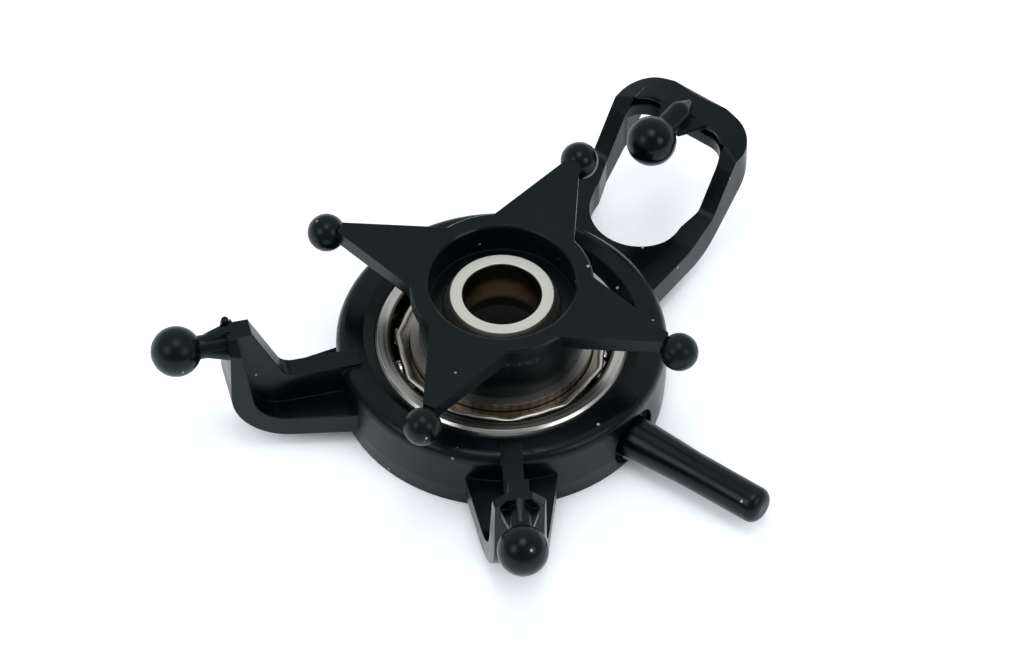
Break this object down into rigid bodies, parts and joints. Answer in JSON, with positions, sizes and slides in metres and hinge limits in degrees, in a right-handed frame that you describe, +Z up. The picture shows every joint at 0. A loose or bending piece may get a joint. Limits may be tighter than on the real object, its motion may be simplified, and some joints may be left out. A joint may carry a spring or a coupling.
{
  "type": "helicopter swashplate",
  "caption": "Tilting helicopter swashplate: a fixed plate with servo ball arms and an anti-rotation pin, and a star with link balls that turns on a ball bearing round a steel pivot ball.",
  "frame": {"origin": "centre of the steel pivot ball, on the main shaft's axis", "axes": "+Z up along the main shaft towards the rotor head, +Y towards the elevator loop, +X towards the anti-rotation pin"},
  "size_m": [0.022, 0.0244, 0.0063],
  "materials": {
    "black_plastic": "injection moulded, satin gloss",
    "pivot_steel": "fine turned",
    "race_steel": "ground",
    "cage_steel": "pressed",
    "ball_steel": "polished"
  },
  "bodies": {
    "fixed_plate": {"outer_ring": "black_plastic", "bearing_outer_race": "race_steel"},
    "star": {"rotating_star": "black_plastic", "bearing_inner_race": "race_steel"},
    "cage": {"bearing_cage_upper": "cage_steel", "bearing_cage_lower": "cage_steel", "bearing_ball_01": "ball_steel", "bearing_ball_02": "ball_steel", "bearing_ball_03": "ball_steel", "bearing_ball_04": "ball_steel", "bearing_ball_05": "ball_steel", "bearing_ball_06": "ball_steel", "bearing_ball_07": "ball_steel", "bearing_ball_08": "ball_steel", "bearing_ball_09": "ball_steel", "bearing_ball_10": "ball_steel", "bearing_ball_11": "ball_steel"},
    "pivot_ball": {"pivot_ball": "pivot_steel"}
  },
  "joints": [
    {"name": "star_spin", "type": "hinge", "parent": "fixed_plate", "child": "star", "pos_m": [0, 0, 0], "axis": [0, 0, 1], "continuous": true},
    {"name": "cage_spin", "type": "hinge", "parent": "fixed_plate", "child": "cage", "pos_m": [0, 0, 0], "axis": [0, 0, 1], "continuous": true},
    {"name": "ball_tilt", "type": "hinge", "parent": "star", "child": "pivot_ball", "pos_m": [0, 0, 0], "axis": [1, 0, 0], "range_deg": [-10, 10]}
  ],
  "couplings": [
    {"joint": "cage_spin", "follows": "star_spin", "ratio": 0.42563}
  ]
}
